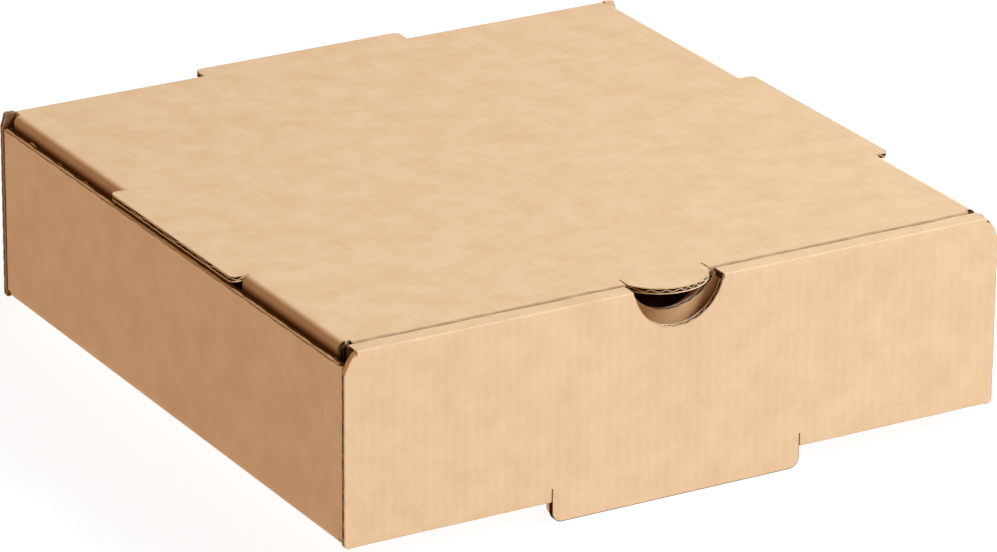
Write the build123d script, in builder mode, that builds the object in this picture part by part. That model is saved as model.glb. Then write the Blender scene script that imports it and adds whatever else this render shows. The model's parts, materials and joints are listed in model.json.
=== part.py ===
from build123d import *
import os

os.makedirs("parts", exist_ok=True)

# Corrugated board, E flute
board = 1.7
half_board = board / 2
fold_radius = 0.4
fold_mid = fold_radius + half_board
fold_outer = fold_radius + board
ply_gap = 0.3
slit = 0.5
slit_reach = 2.0

# Folded box: X along the front, Y to the rear, Z up from the floor's underside
box_width = 209.0
box_depth = 210.0
box_height = 57.0
half_width = box_width / 2
front_y = -box_depth / 2
rear_y = box_depth / 2

# Side walls and their corner flaps
side_drop = 4.5
side_height = box_height - side_drop
corner_y = rear_y - board - ply_gap
corner_flap_length = 48.0
corner_flap_round = 8.0
flap_end = half_width - corner_flap_length
flap_foot = fold_outer
lower_corner_round = 1.4

# Front wall, rolled over the corner flaps and down inside
roll_depth = 3 * board + 2 * ply_gap
roll_y = front_y + roll_depth
roll_inset = 3.8
shoulder_drop = 6.6
shoulder_radius = 18.0

# Tab that hangs from the front wall, its slot in the floor, and the lock tab behind it
front_tab_half = 39.75
front_tab_drop = 6.0
front_tab_round = 3.0
lock_drop = 5.4
lock_y = front_y + 2 * board + ply_gap
lock_cut_top = 12.0
lock_bend_top = 10.0
lock_bend_foot = 4.0
lock_bend_radius = 4.0

# Thumb hole through both layers of the front wall
thumb_x = -0.4
thumb_half = 14.5
thumb_depth = 12.7
thumb_notch_half = 14.3
thumb_notch_depth = 9.1

# Hinge fold between the rear wall and the lid
hinge_y = rear_y - half_board
hinge_z = box_height - half_board
hinge_gap = 0.3
rear_wall_top = box_height - board - hinge_gap
rear_shoulder_inset = 1.2
rear_shoulder_drop = 4.0

# Lid panel and its side folds
lid_clearance = 0.4
lid_inset = 2.3
lid_half = half_width - lid_inset
lid_front_y = roll_y + lid_clearance
lid_panel_front_y = lid_front_y + fold_outer
lid_fold_radius = 0.5
lid_fold_mid = lid_fold_radius + half_board
lid_fold_outer = lid_fold_radius + board
lid_fold_x = lid_half - lid_fold_outer
lid_fold_z = box_height - lid_fold_outer

# Lid flaps tucked inside the tray
front_flap_inset = 1.3
front_flap_half = lid_fold_x - front_flap_inset
front_flap_depth = 28.0
front_flap_lean = 4.5
front_flap_round = 10.0
side_flap_depth = 36.0
side_flap_rear_y = corner_y - board - slit
side_flap_taper = 8.0
side_flap_round = 6.0

# Tabs that stay level with the lid where its folds are cut
side_tab_half = 36.6
side_tab_reach = 3.1
side_notch_depth = 6.1
left_tab_setback = 99.8
left_tab_y = front_y + left_tab_setback
right_tab_setback = 94.2
right_tab_y = front_y + right_tab_setback
rear_tab_half = 34.3
rear_tab_reach = 6.2
rear_tab_x = -3.3
tab_round = 1.6
rear_notch_foot = hinge_z - rear_tab_reach - slit
side_notch_foot = box_height - side_notch_depth
thumb_tab_half = 12.9
thumb_tab_reach = 8.3
thumb_flap_depth = 11.0
thumb_slit_reach = 4.1

# How far a cut passes beyond the board
overrun = 10.0


with BuildPart() as tray:
    # Rear wall, floor, front wall, rolled top and inner wall are one strip of board
    with BuildSketch(Plane.YZ):
        with BuildLine():
            FilletPolyline(
                (rear_y - half_board, box_height),
                (rear_y - half_board, half_board),
                (front_y + half_board, half_board),
                (front_y + half_board, box_height - half_board),
                (roll_y - half_board, box_height - half_board),
                (roll_y - half_board, flap_foot),
                radius=fold_mid,
            )
        trace(line_width=board)
    extrude(amount=half_width, both=True)

    # The floor stops short of the strip's sides, where the side walls fold up
    with BuildSketch(Plane.XZ):
        with GridLocations(box_width, 0, 2, 1):
            Rectangle(2 * fold_outer, 2 * fold_outer)
    extrude(amount=box_depth, both=True, mode=Mode.SUBTRACT)
    with BuildSketch(Plane.XZ.offset(-front_y), Plane.XZ.offset(board - rear_y)) as lower_corners:
        with Locations((-half_width, 0)):
            Rectangle(fold_outer, fold_outer, align=Align.MIN)
        with Locations((half_width, 0)):
            Rectangle(fold_outer, fold_outer, align=(Align.MAX, Align.MIN))
        low_points = lower_corners.vertices().group_by(Axis.Y)[0].sort_by(Axis.X)
        fillet([low_points[0], low_points[-1]], lower_corner_round)
    extrude(amount=-board)

    # The roll and the inner wall are shorter than the front wall, which has cut shoulders
    with BuildSketch(Plane.XY.offset(flap_foot)):
        with Locations((-half_width, front_y + board), (half_width, front_y + board)):
            Rectangle(2 * roll_inset, box_depth / 2, align=(Align.CENTER, Align.MIN))
    extrude(amount=box_height, mode=Mode.SUBTRACT)
    with BuildSketch(Plane.XZ.offset(-front_y)):
        with BuildLine():
            RadiusArc(
                (half_width, box_height - shoulder_drop),
                (half_width - roll_inset, box_height),
                -shoulder_radius,
            )
            Polyline(
                (half_width - roll_inset, box_height),
                (half_width, box_height),
                (half_width, box_height - shoulder_drop),
            )
        make_face()
        mirror(about=Plane.YZ)
    extrude(amount=overrun, both=True, mode=Mode.SUBTRACT)

    # Thumb hole, deeper in the outer wall than in the inner wall
    with BuildSketch(Plane.XZ.offset(board - roll_y)):
        with BuildLine():
            ThreePointArc(
                (thumb_x - thumb_half, box_height),
                (thumb_x, box_height - thumb_depth),
                (thumb_x + thumb_half, box_height),
            )
            Line((thumb_x - thumb_half, box_height), (thumb_x + thumb_half, box_height))
        make_face()
    extrude(amount=overrun, mode=Mode.SUBTRACT)
    with BuildSketch(Plane.XZ.offset(-roll_y)):
        with BuildLine():
            ThreePointArc(
                (thumb_x - thumb_notch_half, box_height),
                (thumb_x, box_height - thumb_notch_depth),
                (thumb_x + thumb_notch_half, box_height),
            )
            Line((thumb_x - thumb_notch_half, box_height), (thumb_x + thumb_notch_half, box_height))
        make_face()
    extrude(amount=board, both=True, mode=Mode.SUBTRACT)

    # The hanging tab is cut from the floor and leaves a slot there
    with BuildSketch(Plane.XY.offset(fold_outer)):
        with Locations((0, front_y)):
            Rectangle(2 * (front_tab_half + slit), 2 * (front_tab_drop + slit))
    extrude(amount=-overrun, mode=Mode.SUBTRACT)
    with BuildSketch(Plane.XZ.offset(-front_y)):
        with Locations((-front_tab_half - slit / 2, 0), (front_tab_half + slit / 2, 0)):
            Rectangle(slit, 2 * (fold_outer + slit_reach))
    extrude(amount=-board, mode=Mode.SUBTRACT)
    with BuildSketch(Plane.XZ.offset(-front_y)) as front_tab:
        with Locations((0, fold_outer)):
            Rectangle(2 * front_tab_half, front_tab_drop + fold_outer, align=(Align.CENTER, Align.MAX))
        fillet(front_tab.vertices().group_by(Axis.Y)[0], front_tab_round)
    extrude(amount=-board)

    # The inner wall's lock tab bends forward and drops through the slot
    with BuildSketch(Plane.XZ.offset(-roll_y)):
        with Locations((0, flap_foot)):
            Rectangle(
                2 * (front_tab_half + slit),
                lock_cut_top - flap_foot,
                align=(Align.CENTER, Align.MIN),
            )
    extrude(amount=board, both=True, mode=Mode.SUBTRACT)
    with BuildSketch(Plane.YZ):
        with BuildLine():
            FilletPolyline(
                (roll_y - half_board, lock_cut_top),
                (roll_y - half_board, lock_bend_top),
                (lock_y - half_board, lock_bend_foot),
                (lock_y - half_board, -lock_drop),
                radius=lock_bend_radius,
            )
        trace(line_width=board)
    extrude(amount=front_tab_half, both=True)
    fillet(tray.edges(Select.LAST).filter_by(Axis.Y).group_by(Axis.Z)[0], front_tab_round)

    # Rear wall: edge under the hinge, notch that the rear tab swings through, shoulders
    with BuildSketch(Plane.XZ.offset(-rear_y)):
        with Locations((0, rear_wall_top)):
            Rectangle(2 * (lid_fold_x + slit), overrun, align=(Align.CENTER, Align.MIN))
        with Locations((rear_tab_x, rear_notch_foot)):
            Rectangle(2 * (rear_tab_half + slit), overrun, align=(Align.CENTER, Align.MIN))
        with BuildLine():
            Polyline(
                (half_width, box_height - rear_shoulder_drop),
                (half_width - rear_shoulder_inset, box_height),
                (half_width, box_height),
                close=True,
            )
        make_face()
        mirror(about=Plane.YZ)
    extrude(amount=overrun, both=True, mode=Mode.SUBTRACT)

    # Side walls fold up from the floor
    with BuildSketch(Plane.XZ):
        with BuildLine():
            FilletPolyline(
                (half_board - half_width, side_height),
                (half_board - half_width, half_board),
                (2 * fold_outer - half_width, half_board),
                radius=fold_mid,
            )
        trace(line_width=board)
        mirror(about=Plane.YZ)
    extrude(amount=corner_y - fold_outer, both=True)

    # Each side wall turns into a corner flap at both ends
    with BuildSketch(Plane.XY.offset(flap_foot)):
        with BuildLine():
            FilletPolyline(
                (-flap_end, half_board - corner_y),
                (half_board - half_width, half_board - corner_y),
                (half_board - half_width, corner_y - half_board),
                (-flap_end, corner_y - half_board),
                radius=fold_mid,
            )
        trace(line_width=board)
        mirror(about=Plane.YZ)
    extrude(amount=side_height - flap_foot)
    across_board = tray.edges().filter_by(Axis.Y)
    for end in (-flap_end, flap_end):
        fillet(across_board.filter_by_position(Axis.X, end - slit, end + slit), corner_flap_round)


with BuildPart() as lid:
    # Front flap, folded down behind the inner wall and leaning in
    with BuildSketch(Plane.YZ):
        with BuildLine():
            FilletPolyline(
                (lid_panel_front_y + fold_outer, hinge_z),
                (lid_front_y + half_board, hinge_z),
                (lid_front_y + half_board + front_flap_lean, box_height - front_flap_depth),
                radius=fold_mid,
            )
        trace(line_width=board)
    extrude(amount=front_flap_half, both=True)
    flap_end_edges = lid.faces().sort_by(Axis.Z)[0].edges().sort_by(SortBy.LENGTH)
    fillet(flap_end_edges[0:2], front_flap_round)
    with BuildSketch(Plane.XZ.offset(-lid_front_y)):
        with BuildLine():
            ThreePointArc(
                (thumb_x - thumb_tab_half - slit, box_height),
                (thumb_x, box_height - thumb_flap_depth),
                (thumb_x + thumb_tab_half + slit, box_height),
            )
            Line(
                (thumb_x - thumb_tab_half - slit, box_height),
                (thumb_x + thumb_tab_half + slit, box_height),
            )
        make_face()
    extrude(amount=overrun, both=True, mode=Mode.SUBTRACT)

    # Top panel up to its folds
    with BuildSketch(Plane.XY.offset(box_height)):
        with Locations((0, lid_panel_front_y)):
            Rectangle(2 * lid_fold_x, hinge_y - lid_panel_front_y, align=(Align.CENTER, Align.MIN))
    extrude(amount=-board)

    # Tabs that stay level with the panel
    with BuildSketch(Plane.XY.offset(box_height)) as tabs:
        with Locations((rear_tab_x, hinge_y)):
            Rectangle(2 * rear_tab_half, 2 * rear_tab_reach)
        with Locations((-lid_half - side_tab_reach, left_tab_y)):
            Rectangle(lid_half + side_tab_reach, 2 * side_tab_half, align=(Align.MIN, Align.CENTER))
        with Locations((lid_half + side_tab_reach, right_tab_y)):
            Rectangle(lid_half + side_tab_reach, 2 * side_tab_half, align=(Align.MAX, Align.CENTER))
        side_corners = tabs.vertices().group_by(Axis.X)
        fillet(tabs.vertices().group_by(Axis.Y)[-1] + side_corners[0] + side_corners[-1], tab_round)
        with BuildLine():
            ThreePointArc(
                (thumb_x - thumb_tab_half, lid_front_y),
                (thumb_x, lid_front_y - thumb_tab_reach),
                (thumb_x + thumb_tab_half, lid_front_y),
            )
            Polyline(
                (thumb_x + thumb_tab_half, lid_front_y),
                (thumb_x + thumb_tab_half, lid_panel_front_y),
                (thumb_x - thumb_tab_half, lid_panel_front_y),
                (thumb_x - thumb_tab_half, lid_front_y),
            )
        make_face()
    extrude(amount=-board)

    # The thumb tab's cut runs past the front fold as two slits
    with BuildSketch(Plane.XY.offset(box_height)):
        with Locations((thumb_x, lid_front_y)):
            with GridLocations(2 * thumb_tab_half + slit, 0, 2, 1):
                Rectangle(slit, 2 * thumb_slit_reach)
    extrude(amount=-board, mode=Mode.SUBTRACT)

    # The rear edge is rounded about the hinge fold
    with BuildSketch(Plane.YZ):
        with Locations((hinge_y, hinge_z)):
            Circle(half_board)
    extrude(amount=lid_fold_x, both=True)

    # Side flaps, each with the notch that its tab was cut from, and their folds beside the tab
    sides = (
        (board - lid_half, -lid_fold_x, 90, left_tab_y),
        (lid_half, lid_fold_x, 0, right_tab_y),
    )
    for flap_x, fold_x, fold_from, tab_y in sides:
        notch_front_y = tab_y - side_tab_half - slit
        notch_rear_y = tab_y + side_tab_half + slit
        with BuildSketch(Plane.YZ.offset(flap_x)) as side_flap:
            with BuildLine():
                Polyline(
                    (lid_panel_front_y, lid_fold_z),
                    (lid_panel_front_y + side_flap_taper, box_height - side_flap_depth),
                    (side_flap_rear_y - side_flap_taper, box_height - side_flap_depth),
                    (side_flap_rear_y, lid_fold_z),
                    close=True,
                )
            make_face()
            fillet(side_flap.vertices().group_by(Axis.Y)[0], side_flap_round)
            with Locations((tab_y, side_notch_foot)):
                Rectangle(
                    notch_rear_y - notch_front_y,
                    overrun,
                    align=(Align.CENTER, Align.MIN),
                    mode=Mode.SUBTRACT,
                )
        extrude(amount=-board)
        for fold_start, fold_end in ((lid_panel_front_y, notch_front_y), (notch_rear_y, side_flap_rear_y)):
            with BuildSketch(Plane.XZ.offset(-fold_start)):
                with BuildLine():
                    CenterArc((fold_x, lid_fold_z), lid_fold_mid, fold_from, 90)
                trace(line_width=board)
            extrude(amount=fold_start - fold_end)


tray.part.label = "tray"
export_step(tray.part, "parts/tray.step")
lid.part.label = "lid"
export_step(lid.part, "parts/lid.step")
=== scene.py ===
import bpy
import json
import math
import numpy as np
from mathutils import Matrix, Vector


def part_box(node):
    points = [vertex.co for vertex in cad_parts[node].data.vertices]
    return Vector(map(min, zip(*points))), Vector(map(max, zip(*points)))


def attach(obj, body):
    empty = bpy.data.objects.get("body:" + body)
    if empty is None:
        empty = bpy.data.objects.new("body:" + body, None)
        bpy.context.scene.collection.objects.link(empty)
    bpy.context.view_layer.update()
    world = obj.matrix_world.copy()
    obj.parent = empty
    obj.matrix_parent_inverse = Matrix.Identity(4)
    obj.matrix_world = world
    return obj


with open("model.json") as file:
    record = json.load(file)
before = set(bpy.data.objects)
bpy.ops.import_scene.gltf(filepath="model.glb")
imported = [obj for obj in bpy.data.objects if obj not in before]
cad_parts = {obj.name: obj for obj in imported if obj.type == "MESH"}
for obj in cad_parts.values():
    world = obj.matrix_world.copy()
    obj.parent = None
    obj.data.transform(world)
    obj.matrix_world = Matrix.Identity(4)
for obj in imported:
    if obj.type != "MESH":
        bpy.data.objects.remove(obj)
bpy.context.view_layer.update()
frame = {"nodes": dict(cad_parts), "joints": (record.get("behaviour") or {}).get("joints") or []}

# Shapes are worked out in millimetres, and addPiece puts them into metres
mm = 0.001
trayLow, trayHigh = (np.array(corner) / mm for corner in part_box("tray"))
lidLow, lidHigh = (np.array(corner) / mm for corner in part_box("lid"))
hinge = np.array(frame["joints"][0]["pos_m"]) / mm
boxTop = lidHigh[2]
halfBoard = boxTop - hinge[2]
board = 2 * halfBoard
frontY, rearY, halfWidth = trayLow[1], trayHigh[1], trayHigh[0]
frontMid = frontY + halfBoard        # middle of the front wall's board
rearMid = rearY - halfBoard
xAxis, yAxis, zAxis = np.eye(3)

# Measures that several pieces share
sideTop = boxTop - 4.5               # cut tops of the side walls and corner flaps
rollY = frontY + 5.7                 # inner face of the rolled-over front wall
rollEnd = halfWidth - 3.8            # where the roll ends beside the side walls
cornerY = rearY - 2.0                # outer face of the corner flaps
thumbX = -0.4                        # middle of the thumb tab and hole
flutePitch = 3.2
print("frame: board", round(board, 2), "mm, box", np.round(trayHigh - trayLow, 1))


# Colours and nodes

mathKind, mixKind = "ShaderNodeMath", "ShaderNodeMix"
rangeKind, noiseKind = "ShaderNodeMapRange", "ShaderNodeTexNoise"


def linear(hexColour):
    srgb = np.array([int(hexColour[i:i + 2], 16) for i in (1, 3, 5)]) / 255
    low, high = srgb / 12.92, ((srgb + 0.055) / 1.055) ** 2.4
    return (*np.where(srgb <= 0.04045, low, high).tolist(), 1.0)


def addNode(tree, kind, settings=None, links=None):
    node = tree.nodes.new(kind)
    for key, value in (settings or {}).items():
        if isinstance(key, str) and hasattr(node, key):
            setattr(node, key, value)
        else:
            node.inputs[key].default_value = value
    for key, socket in (links or {}).items():
        tree.links.new(socket, node.inputs[key])
    return node


def newMaterial(name, shader):
    material = bpy.data.materials.new(name)
    material.use_nodes = True
    tree = material.node_tree
    principled = tree.nodes["Principled BSDF"]
    for key, value in shader.items():
        principled.inputs[key].default_value = value
    return material, tree, principled


# Kraft linerboard: unbleached pulp paper, machine made and uncoated. To the eye it is a dead
# matte tan with soft clouds where the pulp formed unevenly, and short dark and pale fibres. Faces
# inside the box carry painted shade, a warmer and darker tint for light bounced off kraft; the
# folds are darker brown, part bruise and part painted shade; and the rear wall's corner beside
# the lid has painted shade.
linerboard = {
    "tan": "#D7AE85",
    "cloudDark": "#CFA57B",
    "cloudSize": 9.0,
    "cloudRange": (0.35, 0.7),
    "fibreLength": 2.4,          # real fibres are 3 x 0.03 mm, drawn ten times as wide to show
    "fibreWidth": 0.32,
    "fibreTurns": (0.3, -0.25),
    # each fleck: colour, noise value where it starts, where it is full, and how much it shows
    "flecks": (("#A87C52", 0.66, 0.78, 0.15), ("#E6C49F", 0.34, 0.24, 0.18)),
    # painted shade: warmer, darker tint inside the box, for light bounced off kraft
    "inner": "#B0702E",
    "innerShow": 0.5,
    "innerFade": (0.5, 4.0),     # depths below the lid's top
    "innerSlack": 0.05,
    # bruise and painted shade: the colour that darkens the folds where they sit in gaps
    "bruiseShade": "#6E4627",
    "foldBruiseShade": 0.95,
    "foldShadeFade": (8.0, 4.5),       # depths below the lid's top
    "foldShadePlace": (3.3, 1.3),      # middle, in from the side wall's face, and half width
    # painted shade: the rear wall's corner beside the lid, drawn dark brown
    "cornerShade": "#6B3500",
    "cornerShadeShow": 0.9,
    "cornerPlace": (2.2, 2.4),
    "cornerSlack": 0.1,
    "sideFacing": 0.7,           # a face whose normal has more X than this is a side wall's
    "fluteShow": 0.008,          # how far the flutes telegraph through the liner
    "grainSize": 0.9,
    "grainShow": 0.016,
    "shader": {"Roughness": 0.82, "IOR": 1.45, "Specular IOR Level": 0.3},
}


def kraftLinerboard():
    s = linerboard
    material, tree, principled = newMaterial("kraftLinerboard", s["shader"])
    coord = addNode(tree, "ShaderNodeTexCoord")
    place = coord.outputs["Object"]

    low, high = s["cloudRange"]
    clouds = addNode(tree, noiseKind,
                     {"Scale": 1 / (s["cloudSize"] * mm), "Detail": 3.0, "Roughness": 0.6},
                     {"Vector": place})
    cloudRamp = addNode(tree, rangeKind, {"From Min": low, "From Max": high},
                        {"Value": clouds.outputs["Fac"]})
    colour = addNode(tree, mixKind,
                     {"data_type": "RGBA", 6: linear(s["tan"]), 7: linear(s["cloudDark"])},
                     {0: cloudRamp.outputs["Result"]}).outputs[2]

    # Fibres lie along X on the lid, floor, front and rear, and along Z on the side walls
    long, thin = 1 / (s["fibreLength"] * mm), 1 / (s["fibreWidth"] * mm)
    fibreHeights = []
    for scale, turn in zip(((long, thin, thin), (thin, thin, long)), s["fibreTurns"]):
        laid = addNode(tree, "ShaderNodeMapping",
                       {"Rotation": (turn, turn, turn), "Scale": scale}, {"Vector": place})
        fibres = addNode(tree, noiseKind, {"Scale": 1.0, "Detail": 1.0, "Distortion": 0.4},
                         {"Vector": laid.outputs["Vector"]})
        fibreHeights.append(fibres.outputs["Fac"])
        for fleckColour, start, full, show in s["flecks"]:
            fleck = addNode(tree, rangeKind,
                            {"From Min": start, "From Max": full, "To Max": show},
                            {"Value": fibres.outputs["Fac"]})
            colour = addNode(tree, mixKind, {"data_type": "RGBA", 7: linear(fleckColour)},
                             {0: fleck.outputs["Result"], 6: colour}).outputs[2]

    # Painted shade: faces inside the walls get a warmer, darker tint that stands in for light
    # bounced off kraft. It fades in below the lid's top
    split = addNode(tree, "ShaderNodeSeparateXYZ", links={"Vector": place})
    widthways = addNode(tree, mathKind, {"operation": "ABSOLUTE"}, {0: split.outputs["X"]})
    depthways = addNode(tree, mathKind, {"operation": "ABSOLUTE"}, {0: split.outputs["Y"]})
    start, full = ((boxTop - depth) * mm for depth in s["innerFade"])
    below = addNode(tree, rangeKind, {"From Min": start, "From Max": full},
                    {"Value": split.outputs["Z"]})
    limits = ((widthways.outputs[0], "LESS_THAN", halfWidth - board + s["innerSlack"]),
              (depthways.outputs[0], "LESS_THAN", rearY - board + s["innerSlack"]),
              (split.outputs["Z"], "GREATER_THAN", board - s["innerSlack"]))
    inside = below.outputs["Result"]
    for socket, test, limit in limits:
        within = addNode(tree, mathKind, {"operation": test, 1: limit * mm}, {0: socket})
        inside = addNode(tree, mathKind, {"operation": "MULTIPLY"},
                         {0: inside, 1: within.outputs[0]}).outputs[0]
    innerMask = addNode(tree, mathKind, {"operation": "MULTIPLY", 1: s["innerShow"]}, {0: inside})
    colour = addNode(tree, mixKind, {"data_type": "RGBA", 7: linear(s["inner"])},
                     {0: innerMask.outputs[0], 6: colour}).outputs[2]

    # Bruises and painted shade: the scored folds' own attribute; the lid's side folds, darker
    # towards the side walls' tops where they sit in the gap, part bruise and part painted shade;
    # and painted shade on the corner of the rear wall that stands beside the lid
    creaseShade = addNode(tree, "ShaderNodeAttribute", {"attribute_name": "creaseShade"})
    start, full = ((boxTop - depth) * mm for depth in s["foldShadeFade"])
    above = addNode(tree, rangeKind, {"From Min": start, "From Max": full},
                    {"Value": split.outputs["Z"]})
    inset, reach = s["foldShadePlace"]
    nearSide = addNode(tree, mathKind,
                       {"operation": "COMPARE", 1: (halfWidth - inset) * mm, 2: reach * mm},
                       {0: widthways.outputs[0]})
    foldSideMask = addNode(tree, mathKind, {"operation": "MULTIPLY"}, {0: inside, 1: nearSide.outputs[0]})
    foldShadeBand = addNode(tree, mathKind, {"operation": "MULTIPLY"},
                   {0: foldSideMask.outputs[0], 1: above.outputs["Result"]})
    foldShadeMask = addNode(tree, mathKind,
                      {"operation": "MULTIPLY_ADD", "use_clamp": True, 1: s["foldBruiseShade"]},
                      {0: foldShadeBand.outputs[0], 2: creaseShade.outputs["Fac"]})
    # painted shade on the inner face of the rear wall's left corner beside the lid
    onRear = addNode(tree, mathKind,
                     {"operation": "COMPARE", 1: (rearY - board) * mm, 2: s["cornerSlack"] * mm},
                     {0: split.outputs["Y"]})
    inset, reach = s["cornerPlace"]
    atLeft = addNode(tree, mathKind,
                     {"operation": "COMPARE", 1: (inset - halfWidth) * mm, 2: reach * mm},
                     {0: split.outputs["X"]})
    corner = addNode(tree, mathKind, {"operation": "MULTIPLY"},
                     {0: onRear.outputs[0], 1: atLeft.outputs[0]})
    cornerShadeMask = addNode(tree, mathKind, {"operation": "MULTIPLY", 1: s["cornerShadeShow"]},
                      {0: corner.outputs[0]})
    for mask, bruiseShade in ((foldShadeMask, s["bruiseShade"]), (cornerShadeMask, s["cornerShade"])):
        colour = addNode(tree, mixKind, {"data_type": "RGBA", 7: linear(bruiseShade)},
                         {0: mask.outputs[0], 6: colour}).outputs[2]
    tree.links.new(colour, principled.inputs["Base Color"])

    # Flutes repeat along X, and along Z on the side walls, whose faces look along X
    facing = addNode(tree, "ShaderNodeSeparateXYZ", links={"Vector": coord.outputs["Normal"]})
    sideways = addNode(tree, mathKind, {"operation": "ABSOLUTE"}, {0: facing.outputs["X"]})
    isSide = addNode(tree, mathKind, {"operation": "GREATER_THAN", 1: s["sideFacing"]},
                     {0: sideways.outputs[0]})
    across = addNode(tree, mixKind, {"data_type": "FLOAT"},
                     {0: isSide.outputs[0], 2: split.outputs["X"], 3: split.outputs["Z"]})
    turns = addNode(tree, mathKind, {"operation": "MULTIPLY", 1: 2 * math.pi / (flutePitch * mm)},
                    {0: across.outputs[0]})
    wave = addNode(tree, mathKind, {"operation": "SINE"}, {0: turns.outputs[0]})
    flutes = addNode(tree, mathKind, {"operation": "MULTIPLY", 1: s["fluteShow"]},
                     {0: wave.outputs[0]})
    grain = addNode(tree, noiseKind,
                    {"Scale": 1 / (s["grainSize"] * mm), "Detail": 3.0, "Roughness": 0.65},
                    {"Vector": place})
    rough = addNode(tree, mathKind, {"operation": "ADD"},
                    {0: grain.outputs["Fac"], 1: fibreHeights[0]})
    relief = addNode(tree, mathKind, {"operation": "MULTIPLY_ADD", 1: s["grainShow"]},
                     {0: rough.outputs[0], 2: flutes.outputs[0]})
    bump = addNode(tree, "ShaderNodeBump", {"Strength": 1.0, "Distance": mm},
                   {"Height": relief.outputs[0]})
    tree.links.new(bump.outputs["Normal"], principled.inputs["Normal"])
    return material


# Cut corrugated board: liners and fluting medium sliced by the die. The cut paper is paler and
# furrier than the face, and the hollows between the flutes are painted dark, as painted shade.
cutBoard = {
    "paper": "#E6C29A",
    # painted shade: the dark of the flute hollows and of cuts hidden in gaps
    "pocketShade": "#331803",
    "shade": "#C89A6C",
    "furSize": 0.5,
    "shader": {"Roughness": 0.95, "IOR": 1.45, "Specular IOR Level": 0.0},
}


def kraftCutEdge():
    s = cutBoard
    material, tree, principled = newMaterial("kraftCutBoard", s["shader"])
    coord = addNode(tree, "ShaderNodeTexCoord")
    depth = addNode(tree, "ShaderNodeAttribute", {"attribute_name": "pocketShade"})
    fur = addNode(tree, noiseKind, {"Scale": 1 / (s["furSize"] * mm), "Detail": 2.0},
                  {"Vector": coord.outputs["Object"]})
    paper = addNode(tree, mixKind,
                    {"data_type": "RGBA", 6: linear(s["paper"]), 7: linear(s["shade"])},
                    {0: fur.outputs["Fac"]})
    colour = addNode(tree, mixKind, {"data_type": "RGBA", 7: linear(s["pocketShade"])},
                     {0: depth.outputs["Fac"], 6: paper.outputs[2]})
    tree.links.new(colour.outputs[2], principled.inputs["Base Color"])
    return material


linerMaterial = kraftLinerboard()
cutMaterial = kraftCutEdge()
for node in frame["nodes"].values():
    node.data.materials.clear()
    node.data.materials.append(linerMaterial)
print("materials:", linerMaterial.name, cutMaterial.name)


# Meshes

sharpAngle = math.radians(35)        # edges that turn more than this stay crisp


def addPiece(name, body, rings, material, tint):
    # rings is an array of closed loops along a path: neighbours are joined by quads, and the ends
    # are capped. tint is the name of a point attribute that the material reads, and its values.
    count, width = rings.shape[:2]
    step = np.arange(count - 1)[:, None] * width
    here = np.arange(width)[None, :]
    after = (here + 1) % width
    quads = np.stack([step + here, step + after, step + width + after, step + width + here], -1)
    quads = quads.reshape(-1, 4)
    flat = rings.reshape(-1, 3)
    middle = flat - flat.mean(0)
    a, b, c = middle[quads[:, 0]], middle[quads[:, 1]], middle[quads[:, 2]]
    inward = np.einsum("ij,ij->i", a, np.cross(b, c)).sum() < 0
    first, last = np.arange(width)[::-1], np.arange(width) + (count - 1) * width
    if inward:
        quads, first, last = quads[:, ::-1], first[::-1], last[::-1]
    corners = np.concatenate([quads.ravel(), first, last]).astype(np.int32)
    sizes = np.concatenate([np.full(len(quads), 4), [width, width]]).astype(np.int32)
    mesh = bpy.data.meshes.new(name)
    mesh.vertices.add(len(flat))
    mesh.vertices.foreach_set("co", (flat * mm).astype(np.float32).ravel())
    mesh.loops.add(len(corners))
    mesh.loops.foreach_set("vertex_index", corners)
    mesh.polygons.add(len(sizes))
    mesh.polygons.foreach_set("loop_start", (np.cumsum(sizes) - sizes).astype(np.int32))
    mesh.polygons.foreach_set("loop_total", sizes)
    attribute = mesh.attributes.new(tint[0], "FLOAT", "POINT")
    attribute.data.foreach_set("value", tint[1].astype(np.float32).ravel())
    mesh.update(calc_edges=True)
    mesh.set_sharp_from_angle(angle=sharpAngle)
    mesh.materials.append(material)
    piece = bpy.data.objects.new(name, mesh)
    bpy.context.scene.collection.objects.link(piece)
    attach(piece, body)


def waver(place, seed, longest):
    # smooth wander near -1 to 1: three sines, each half as long as the one before, seeded phases
    phase = np.random.default_rng(seed).uniform(0, 2 * np.pi, 3)
    waves = [np.sin(2 * np.pi * place / longest * 2 ** k + phase[k]) / (k + 1) for k in range(3)]
    return sum(waves) / 1.8


def smooth(value, low, high):
    # 0 up to low, 1 from high on, and 3 t squared less 2 t cubed between them
    t = np.clip((value - low) / (high - low), 0, 1)
    return t * t * (3 - 2 * t)


def outlinePath(corners, radius, step):
    # straight runs joined by tangent arcs of one radius, then spaced evenly
    corners = np.array(corners, float)
    points = [corners[:1]]
    for before, corner, after in zip(corners[:-2], corners[1:-1], corners[2:]):
        arrive = (corner - before) / np.linalg.norm(corner - before)
        leave = (after - corner) / np.linalg.norm(after - corner)
        turn = math.acos(np.clip(arrive @ leave, -1, 1))
        cut = radius * math.tan(turn / 2)
        share = np.linspace(0, 1, 13)[:, None]
        start, end = corner - cut * arrive, corner + cut * leave
        bisector = (leave - arrive) / np.linalg.norm(leave - arrive)
        middle = corner + bisector * radius / math.cos(turn / 2)
        ray = (1 - share) * (start - middle) + share * (end - middle)
        points.append(middle + radius * ray / np.linalg.norm(ray, axis=1, keepdims=True))
    points = np.concatenate(points + [corners[-1:]])
    reach = np.concatenate([[0], np.cumsum(np.linalg.norm(np.diff(points, axis=0), axis=1))])
    even = np.linspace(0, reach[-1], max(3, round(reach[-1] / step) + 1))
    return np.stack([np.interp(even, reach, points[:, k]) for k in (0, 1)], -1)


def arcPath(centre, radius, start, end, step):
    # a circle's stretch from the start angle to the end angle, in degrees
    count = max(3, round(abs(math.radians(end - start)) * radius / step) + 1)
    angle = np.radians(np.linspace(start, end, count))
    return np.array(centre) + radius * np.stack([np.cos(angle), np.sin(angle)], -1)


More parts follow.
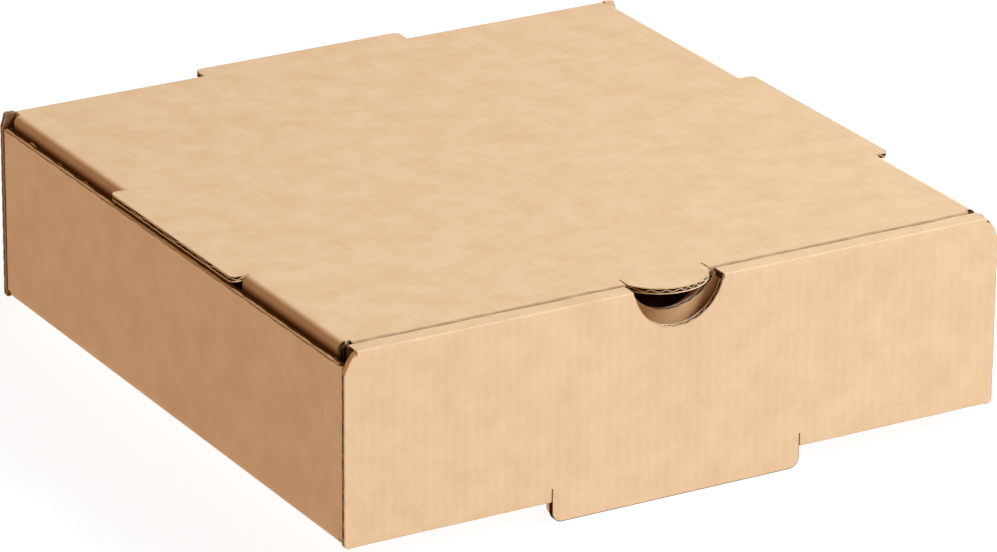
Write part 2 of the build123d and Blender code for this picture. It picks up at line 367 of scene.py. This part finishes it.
def circleThrough(halfChord, sagitta):
    # radius of the circle that rises by the sagitta over the chord
    return (halfChord ** 2 + sagitta ** 2) / (2 * sagitta)


# The cut edge: between two liners the fluting medium runs as a wave of the flutes' pitch. At a
# place u across the flutes, the medium is at amplitude * (sin a - sin 3a / 12) in the thickness,
# where a is 2 pi u / pitch.
cutEdgeSettings = {
    "liner": 0.3,
    "linerFade": (1.15, 0.75),       # shares of the liner's thickness
    "medium": 0.24,
    "mediumFade": (0.35, 0.75),      # shares of the medium's thickness
    "mediumTone": 0.85,
    "proud": 0.22,
    "pocketFloor": 0.03,
    "root": 0.25,
    "rootInset": 0.06,
    "across": 20,
    "crossStep": 0.22,
    "alongStep": 0.5,
    "wander": 0.95,
    "wanderLength": 21.0,
    "crush": 0.55,
    "crushLength": 17.0,
    "ragged": 0.4,
    "raggedLength": 5.0,
}
crossStep, alongStep = cutEdgeSettings["crossStep"], cutEdgeSettings["alongStep"]


def cutEdge(name, body, path, plane, fluteAxis, side=1, faces="outline", seed=1, shut=0.0,
            shade=0.0):
    # path lies in the plane (origin, first axis, second axis). The cut looks out of the outline,
    # with the plane's normal across the board, or out of the plane, with the outline's normal
    # across it. shut is how far the die has pressed the flutes closed, shade how much painted shade
    # darkens the whole cut where it lies hidden in a gap.
    s = cutEdgeSettings
    origin, first, second = (np.array(v, float) for v in plane)
    normal = np.cross(first, second)
    tangent = np.gradient(path, axis=0)
    tangent /= np.linalg.norm(tangent, axis=1, keepdims=True)
    beside = side * np.stack([tangent[:, 1], -tangent[:, 0]], -1)
    spine = origin + path[:, :1] * first + path[:, 1:] * second
    beside = beside[:, :1] * first + beside[:, 1:] * second
    upright = np.broadcast_to(normal, beside.shape)
    outward, across = (beside, upright) if faces == "outline" else (side * upright, beside)
    outward, across = outward[:, None, :], across[:, None, :]
    reach = np.concatenate([[0], np.cumsum(np.linalg.norm(np.diff(spine, axis=0), axis=1))])
    u = spine @ fluteAxis + s["wander"] * waver(reach, seed, s["wanderLength"])
    t = np.linspace(-halfBoard, halfBoard, s["across"])
    swing = halfBoard - s["liner"] - s["medium"] / 2
    angle = 2 * np.pi * u / flutePitch
    crush = 1 - s["crush"] * (0.5 + 0.5 * waver(reach, seed + 3, s["crushLength"]))
    medium = swing * crush * (np.sin(angle) - np.sin(3 * angle) / 12)
    slope = np.gradient(medium, reach)
    gap = np.abs(t[None, :] - medium[:, None]) / np.sqrt(1 + slope[:, None] ** 2)
    onMedium = 1 - smooth(gap, *(s["medium"] * share for share in s["mediumFade"]))
    linerFrom, linerFull = (halfBoard - s["liner"] * share for share in s["linerFade"])
    onLiner = smooth(np.abs(t), linerFrom, linerFull)[None, :]
    paper = np.maximum(onMedium * s["mediumTone"], onLiner)
    fray = waver(reach, seed + 7, s["raggedLength"])[:, None] * np.sign(t)[None, :]
    ragged = 1 + s["ragged"] * fray
    height = s["pocketFloor"] + (s["proud"] - s["pocketFloor"]) * paper * ragged
    face = spine[:, None, :] + across * t[None, :, None] + outward * height[:, :, None]
    rootT = np.array([1, -1]) * (halfBoard - s["rootInset"])
    root = spine[:, None, :] + across * rootT[None, :, None] - outward * s["root"]
    rings = np.concatenate([face, root], axis=1)
    # painted shade: hollows between the flutes, and the whole cut by the shade setting, take the
    # dark colour
    airy = (1 - paper) * (1 - np.reshape(shut, (-1, 1)))
    pocketShade = np.concatenate([np.maximum(airy, shade), np.ones((len(spine), 2))], axis=1)
    addPiece(name, body, rings, cutMaterial, ("pocketShade", pocketShade))


# Lid: the panel's plane is level, flutes repeat along X
lidPlane = ((0, 0, hinge[2]), xAxis, yAxis)
lidEdges = {
    "half": halfWidth - 2.3,
    "frontY": lidLow[1] + 8.3,
    "thumbHalf": 12.9,
    "sideTab": {-1: (-41.8, 31.4), 1: (-47.4, 25.8)},
    "rearTab": (-37.6, 31.0),
    "tabRound": 1.6,
    "foldX": halfWidth - 4.5,
    "foldZ": boxTop - 2.2,
    "foldMid": 1.35,
    "foldEndDrops": (0.5, 5, 0.5),
    "foldEndShade": 0.85,
    "panelFrontY": -96.8,
    "flapRearY": rearY - 4.2,
    "flapFoot": boxTop - 36.0,
    "flapDrop": 5,
    "flapInset": 1,
    "flapTaper": 8.0,
    "flapRound": 6.0,
    "frontFlapHalf": halfWidth - 5.8,
    "frontFlapLean": (0, -4.5, 28.0 - halfBoard),    # from the flap's foot up to its fold
    "frontFlapDrop": 4,
    "frontFlapRound": 10.0,
}


def lidCutEdges():
    s = lidEdges
    tip = lidLow[1]
    radius = circleThrough(s["thumbHalf"], s["frontY"] - tip)
    spread = math.degrees(math.asin(s["thumbHalf"] / radius))
    moon = arcPath((thumbX, tip + radius), radius, 270 - spread, 270 + spread, crossStep)
    cutEdge("thumbTabEdge", "lid", moon, lidPlane, xAxis, seed=3)
    for name, sign in (("leftTabEdge", -1), ("rightTabEdge", 1)):
        front, rear = s["sideTab"][sign]
        inner, outer = sign * s["half"], sign * lidHigh[0]
        corners = [(inner, front), (outer, front), (outer, rear), (inner, rear)]
        cutEdge(name, "lid", outlinePath(corners, s["tabRound"], crossStep), lidPlane, xAxis,
                side=sign, seed=11 + sign)
    left, right = s["rearTab"]
    corners = [(left, hinge[1]), (left, lidHigh[1]), (right, lidHigh[1]), (right, hinge[1])]
    cutEdge("rearTabEdge", "lid", outlinePath(corners, s["tabRound"], crossStep), lidPlane, xAxis,
            side=-1, seed=17)
    front, rear = s["panelFrontY"], s["flapRearY"]
    top, foot = s["foldZ"] - s["flapDrop"], s["flapFoot"]
    taper, inset = s["flapTaper"], s["flapInset"]
    for name, sign in (("left", -1), ("right", 1)):
        # the side folds' front ends, cut across the board where the fold turns down
        bend = arcPath((sign * s["foldX"], s["foldZ"]), s["foldMid"], 90, 90 - sign * 90, crossStep)
        drops = np.arange(*s["foldEndDrops"])
        outer = np.full_like(drops, sign * (s["foldX"] + s["foldMid"]))
        path = np.concatenate([bend, np.stack([outer, s["foldZ"] - drops], -1)])
        cutEdge(name + "FoldEndEdge", "lid", path, ((0, front, 0), xAxis, zAxis), xAxis,
                faces="plane", seed=23 + sign, shade=s["foldEndShade"])
        # the side flaps' outlines, seen when the lid is open
        corners = [(front + inset, top), (front + taper, foot), (rear - taper, foot),
                   (rear - inset, top)]
        cutEdge(name + "SideFlapEdge", "lid", outlinePath(corners, s["flapRound"], alongStep),
                ((sign * (s["half"] - halfBoard), 0, 0), yAxis, zAxis), zAxis, seed=107 + sign)
    lean = np.array(s["frontFlapLean"])
    length = np.linalg.norm(lean)
    half, drop = s["frontFlapHalf"], s["frontFlapDrop"]
    corners = [(-half, -drop), (-half, -length), (half, -length), (half, -drop)]
    cutEdge("frontFlapEdge", "lid", outlinePath(corners, s["frontFlapRound"], alongStep),
            ((0, s["frontY"] + halfBoard, hinge[2]), xAxis, lean / length), xAxis, seed=113)


# Scored folds: the die crushes the board along the fold, so the outer liner turns sharper than
# the board. Across the fold the liner runs flat, turns through a quarter circle of the settings'
# radius, then runs flat.
foldSettings = {
    "step": 0.8, "run": 2.6, "inside": 0.6, "sink": 0.01, "lead": 0.1, "turnSteps": 7,
    "radiusLength": 31.0, "wanderLength": 24.0, "bruiseShadeLength": 9.0, "bruiseShadeWander": 0.15,
    # the crease's darkening is part bruise and part painted shade in the groove beside it
    "crease": {"radius": 0.45, "radiusWander": 0.2, "wander": 0.1, "bruiseShade": 0.6},
    "bend": {"radius": 0.4, "radiusWander": 0.15, "wander": 0.0, "bruiseShade": 0.0},
    "thumbGap": 0.5, "holeHalf": 14.6, "tabHalf": 40.3, "footInset": 2.1,
}


def scoredFold(name, body, ends, along, corner, first, second, kind, seed):
    # the fold runs along an axis through the corner; first and second point inwards over its two
    # faces
    s, k = foldSettings, foldSettings[kind]
    place = np.linspace(*ends, max(3, round(abs(ends[1] - ends[0]) / s["step"]) + 1))
    level, ones = np.zeros_like(place), np.ones_like(place)
    radius = k["radius"] + k["radiusWander"] * waver(place, seed, s["radiusLength"])
    edge = k["wander"] * (1 - waver(place, seed + 1, s["wanderLength"]))
    angle = np.radians(np.linspace(90, 0, s["turnSteps"]))
    over = [s["run"] * ones, radius + s["lead"]] + [radius * (1 - np.cos(a)) for a in angle]
    over += [level, s["inside"] * ones, s["run"] * ones]
    down = [level, level] + [radius * (1 - np.sin(a)) for a in angle]
    down += [s["run"] * ones, s["run"] * ones, s["inside"] * ones]
    # a darkening over the turn and the face below it, part bruise and part painted shade
    fade = 1 - s["bruiseShadeWander"] * (1 - waver(place, seed + 2, s["bruiseShadeLength"]))
    bruiseShade = k["bruiseShade"] * fade[:, None] * np.array([0, 0] + [1] * (s["turnSteps"] + 3))
    over = np.stack(over, -1) + edge[:, None] + s["sink"]
    down = np.stack(down, -1) + s["sink"]
    rings = (np.array(corner, float) + place[:, None, None] * along
             + over[:, :, None] * np.array(first) + down[:, :, None] * np.array(second))
    addPiece(name, body, rings, linerMaterial, ("creaseShade", bruiseShade))


def foldLiners():
    s, lidHalf, lidFrontY = foldSettings, lidEdges["frontFlapHalf"], lidEdges["frontY"]
    gap, hole = lidEdges["thumbHalf"] + s["thumbGap"], s["holeHalf"]
    runs = (("left", (-lidHalf, thumbX - gap), (-rollEnd, thumbX - hole)),
            ("right", (thumbX + gap, lidHalf), (thumbX + hole, rollEnd)))
    for name, ends, roll in runs:
        scoredFold(name + "LidFrontFold", "lid", ends, xAxis, (0, lidFrontY, boxTop), yAxis,
                   -zAxis, "crease", 83)
        scoredFold(name + "RollFold", "tray", roll, xAxis, (0, rollY, boxTop), -yAxis,
                   -zAxis, "crease", 89)
        scoredFold(name + "FrontFold", "tray", roll, xAxis, (0, frontY, boxTop), yAxis,
                   -zAxis, "bend", 97)
    for name, sign in (("left", -1), ("right", 1)):
        foot = (sign * s["tabHalf"], sign * (halfWidth - s["footInset"]))
        scoredFold(name + "FootFold", "tray", foot, xAxis, (0, frontY, 0), yAxis,
                   zAxis, "bend", 101)
        for end, turn in (("Front", 1), ("Rear", -1)):
            scoredFold(name + end + "CornerFold", "tray", (s["footInset"], sideTop), zAxis,
                       (sign * halfWidth, -turn * cornerY, 0), -sign * xAxis, turn * yAxis,
                       "bend", 103)


lidCutEdges()
foldLiners()
print("lid: cut edges and folds laid")

# Tray: flutes repeat along X on the strip of front, floor and rear, and along Z on the side walls
trayEdges = {
    "sideMid": halfWidth - halfBoard,
    "cornerMid": cornerY - halfBoard,
    "foldMid": 1.25,
    "wallTopShut": 0.5, "wallTopShade": 0.75,
    "flapEnd": halfWidth - 48.0,
    "flapRound": 8.0,
    "footRound": 1.4,
    "shoulderDrop": 6.6,
    "shoulderMid": (1.55, 3.1),      # in from the end and below the top
    "shoulderTop": (0.55, 0.8),      # out from the roll's end and below the top
    "shoulderShut": 0.85,
    "rollMid": rollY - halfBoard,
    "rollShade": 0.8,
    "rearShoulder": (1.2, 4.0),      # in from the end and below the top
    "earShut": {-1: 0.0, 1: 0.9}, "earShade": {-1: 0.3, 1: 0.0},
    "lidSlit": halfWidth - 4.0,
    "shutFade": (-0.5, 1),
    "rearWallTop": boxTop - 2.0,
    "rearNotch": (-38.1, 31.5),
    "rearNotchFoot": 49.45,
    "thumbHole": (14.5, 12.7),       # half width and depth
    "thumbNotch": (14.3, 9.1),
    "holeInset": 0.33, "holeShade": 0.9,
    "rollCurveTop": 55.2,
    "tabHalf": 39.75,
    "tabRound": 3.0,
    "innerFoot": 2.1,
    "sharpRound": 0.3,
}


def trayCutEdges():
    s = trayEdges
    frontPlane = ((0, frontMid, 0), xAxis, zAxis)
    innerPlane = ((0, s["rollMid"], 0), xAxis, zAxis)
    rearPlane = ((0, rearMid, 0), xAxis, zAxis)
    shutLow, shutHigh = s["shutFade"]
    for name, sign in (("left", -1), ("right", 1)):
        end, wall, corner = s["flapEnd"] + s["flapRound"], s["sideMid"], s["cornerMid"]
        footX, outer = sign * (halfWidth - s["footRound"]), sign * halfWidth
        corners = [(sign * end, -corner), (sign * wall, -corner), (sign * wall, corner),
                   (sign * end, corner)]
        cutEdge(name + "WallTopEdge", "tray", outlinePath(corners, s["foldMid"], alongStep),
                ((0, 0, sideTop), xAxis, yAxis), zAxis, faces="plane", seed=31 + sign,
                shut=s["wallTopShut"], shade=s["wallTopShade"])
        shoulder = boxTop - s["shoulderDrop"]
        inset, drop = s["shoulderMid"]
        out, below = s["shoulderTop"]
        corners = [(footX, 0), (outer, 0), (outer, shoulder),
                   (sign * (halfWidth - inset), boxTop - drop),
                   (sign * (rollEnd + out), boxTop - below)]
        path = outlinePath(corners, s["footRound"], crossStep)
        pressed = smooth(path[:, 1], shoulder + shutLow, shoulder + shutHigh)
        cutEdge(name + "FrontEndEdge", "tray", path, frontPlane, xAxis, side=sign, seed=37 + sign,
                shut=s["shoulderShut"] * pressed)
        corners = [(frontMid, shoulder), (frontMid, hinge[2]), (s["rollMid"], hinge[2]),
                   (s["rollMid"], s["innerFoot"])]
        cutEdge(name + "RollEndEdge", "tray", outlinePath(corners, s["foldMid"], alongStep),
                ((sign * rollEnd, 0, 0), yAxis, zAxis), xAxis, side=sign, faces="plane",
                seed=41 + sign, shade=s["rollShade"])
        inset, drop = s["rearShoulder"]
        ear = boxTop - drop
        corners = [(footX, 0), (outer, 0), (outer, ear), (sign * (halfWidth - inset), boxTop),
                   (sign * s["lidSlit"], boxTop)]
        path = outlinePath(corners, s["sharpRound"], crossStep)
        pressed = smooth(path[:, 1], ear + shutLow, ear + shutHigh)
        cutEdge(name + "RearEndEdge", "tray", path, rearPlane, xAxis, side=sign, seed=47 + sign,
                shut=s["earShut"][sign] * pressed, shade=s["earShade"][sign])
        tip, foot = sign * s["flapEnd"], s["innerFoot"]
        flap = [(sign * end, sideTop), (tip, sideTop), (tip, foot), (sign * end, foot)]
        cutEdge(name + "CornerFlapEdge", "tray", outlinePath(flap, s["flapRound"], crossStep),
                ((0, s["cornerMid"], 0), xAxis, zAxis), zAxis, side=sign, seed=53 + sign)
        corners = [(frontMid, hinge[2]), (s["rollMid"], hinge[2])]
        holeEnd = thumbX + sign * (s["thumbHole"][0] - s["holeInset"])
        cutEdge(name + "HoleRollEdge", "tray", outlinePath(corners, s["sharpRound"], crossStep),
                ((holeEnd, 0, 0), yAxis, zAxis), xAxis, side=-sign, faces="plane",
                seed=59 + sign, shade=s["holeShade"])
    for name, plane, (half, depth) in (("thumbHoleEdge", frontPlane, s["thumbHole"]),
                                       ("innerNotchEdge", innerPlane, s["thumbNotch"])):
        radius = circleThrough(half, depth)
        middle = boxTop - depth + radius
        spread = math.degrees(math.acos((middle - s["rollCurveTop"]) / radius))
        rim = arcPath((thumbX, middle), radius, 270 - spread, 270 + spread, crossStep)
        cutEdge(name, "tray", rim, plane, xAxis, side=-1, seed=61)
    half, low = s["tabHalf"], trayLow[2]
    corners = [(-half, 0), (-half, low), (half, low), (half, 0)]
    cutEdge("frontTabEdge", "tray", outlinePath(corners, s["tabRound"], crossStep), frontPlane,
            xAxis, side=-1, seed=67)
    left, right = s["rearNotch"]
    foot, top = s["rearNotchFoot"], s["rearWallTop"]
    corners = [(left, top), (left, foot), (right, foot), (right, top)]
    cutEdge("rearNotchEdge", "tray", outlinePath(corners, s["sharpRound"], crossStep), rearPlane,
            xAxis, side=-1, seed=71)


# Liner lip: the die drags the outer liner's edge over the top of each side wall. It is a bead of
# the settings' radius along the wall, whose size wanders, with its lower half painted dark as a
# painted shadow under the bead.
lip = {
    "radius": 0.45, "wander": 0.3, "wanderLength": 13.0, "out": 0.3, "rise": 0.2,
    "step": 1.0, "end": 101.5, "turn": 30, "darkBelow": 0.1, "underShadow": 0.8,
}


def linerLips():
    s = lip
    y = np.linspace(-s["end"], s["end"], round(2 * s["end"] / s["step"]) + 1)
    angle = np.radians(np.arange(0, 360, s["turn"]))
    for name, sign in (("leftWallLip", -1), ("rightWallLip", 1)):
        radius = s["radius"] * (1 + s["wander"] * waver(y, 131 + sign, s["wanderLength"]))[:, None]
        x = sign * (halfWidth - s["radius"] + s["out"] + radius * np.cos(angle))
        z = sideTop + s["rise"] + radius * np.sin(angle)
        rings = np.stack([x, np.broadcast_to(y[:, None], x.shape), z], -1)
        # painted shadow: the bead's lower half takes the dark cut colour
        underShadow = np.broadcast_to(np.where(np.sin(angle) < s["darkBelow"], s["underShadow"], 0.0), x.shape)
        addPiece(name, "tray", rings, cutMaterial, ("pocketShade", underShadow))


# Torn liner: scraps that the die pulled up along the left wall's top. Each is a thin strip whose
# height is a half sine along its length to the settings' power, leaning outwards as it rises.
tears = {
    "thick": 0.25, "x": 1.2 - halfWidth, "lean": -0.35, "points": 15, "ends": (0.03, 0.97),
    "power": 0.6, "fray": 0.2, "frayLength": 0.7, "sink": 0.1, "lift": 0.2, "tone": 0.05,
    # each scrap: its middle along the wall, length and height
    "scraps": ((86.0, 5.0, 1.0), (68.5, 2.4, 0.6), (51.5, 2.2, 0.7), (33.5, 1.6, 0.5)),
}


def tornScraps():
    s = tears
    share = np.linspace(*s["ends"], s["points"])
    for number, (middle, length, height) in enumerate(s["scraps"]):
        fray = 1 + s["fray"] * waver(share, 121 + number, s["frayLength"])
        rise = height * np.sin(np.pi * share) ** s["power"] * fray
        y = middle + length * (share - 0.5)
        foot, top = np.full_like(y, sideTop - s["sink"]), sideTop + s["lift"] + rise
        x, slant = np.full_like(y, s["x"]), s["x"] + s["lean"] * rise
        sides = ((x, foot), (slant, top), (slant + s["thick"], top), (x + s["thick"], foot))
        rings = np.stack([np.stack([across, y, up], -1) for across, up in sides], 1)
        tone = np.full(rings.shape[:2], s["tone"])
        addPiece("linerScrap" + str(number + 1), "tray", rings, cutMaterial, ("pocketShade", tone))


trayCutEdges()
linerLips()
tornScraps()
print("tray: cut edges and torn liner laid")


# Studio: a white light table just below the front tab's cut edge, a cool key from the front
# right, a dim warm room and a small warm fill from the left
floorSettings = {
    "half": 4.0,
    "clear": 0.3,
    "shader": {"Base Color": linear("#5C5C5C"), "Roughness": 0.9,
               "Emission Color": linear("#FFFFFF"), "Emission Strength": 0.92},
}
floorMaterial = newMaterial("opalLightTable", floorSettings["shader"])[0]
half, height = floorSettings["half"], (trayLow[2] - floorSettings["clear"]) * mm
floorCorners = [(-half, -half, height), (half, -half, height), (half, half, height),
                (-half, half, height)]
floorMesh = bpy.data.meshes.new("studioFloor")
floorMesh.from_pydata(floorCorners, [], [(0, 1, 2, 3)])
floorMesh.materials.append(floorMaterial)
floor = bpy.data.objects.new("studioFloor", floorMesh)
bpy.context.scene.collection.objects.link(floor)

studio = {
    "ambient": "#A08350", "ambientPower": 0.95,
    "key": {"place": (1.5, -1.08, 1.62), "size": 0.9, "power": 138.5, "colour": "#CBE5FF"},
    "fill": {"place": (-1.8, 0.3, 0.5), "size": 1.2, "power": 2.2, "colour": "#FF9A50"},
}
world = bpy.data.worlds.new("studio")
bpy.context.scene.world = world
world.use_nodes = True
background = world.node_tree.nodes["Background"]
background.inputs["Color"].default_value = linear(studio["ambient"])
background.inputs["Strength"].default_value = studio["ambientPower"]
for name in ("key", "fill"):
    settings = studio[name]
    lamp = bpy.data.lights.new(name + "Light", "AREA")
    lamp.energy, lamp.size = settings["power"], settings["size"]
    lamp.color = linear(settings["colour"])[:3]
    light = bpy.data.objects.new(name + "Light", lamp)
    bpy.context.scene.collection.objects.link(light)
    light.location = settings["place"]
    light.rotation_euler = (-Vector(settings["place"])).to_track_quat("-Z", "Y").to_euler()

# Camera: the long lens and the angle that the photograph was taken with
view = {"place": (-0.8337, -1.4428, 0.6901), "yaw": -30.12, "pitch": -21.84, "roll": -0.44,
        "lens": 224.5}
cameraData = bpy.data.cameras.new("photoCamera")
cameraData.lens = view["lens"]
camera = bpy.data.objects.new("photoCamera", cameraData)
bpy.context.scene.collection.objects.link(camera)
camera.matrix_world = (Matrix.Translation(view["place"])
                       @ Matrix.Rotation(math.radians(view["yaw"]), 4, "Z")
                       @ Matrix.Rotation(math.radians(view["pitch"] + 90), 4, "X")
                       @ Matrix.Rotation(math.radians(-view["roll"]), 4, "Z"))
bpy.context.scene.camera = camera
bpy.context.scene.view_settings.view_transform = "Standard"
print("studio: floor, lights and camera set")
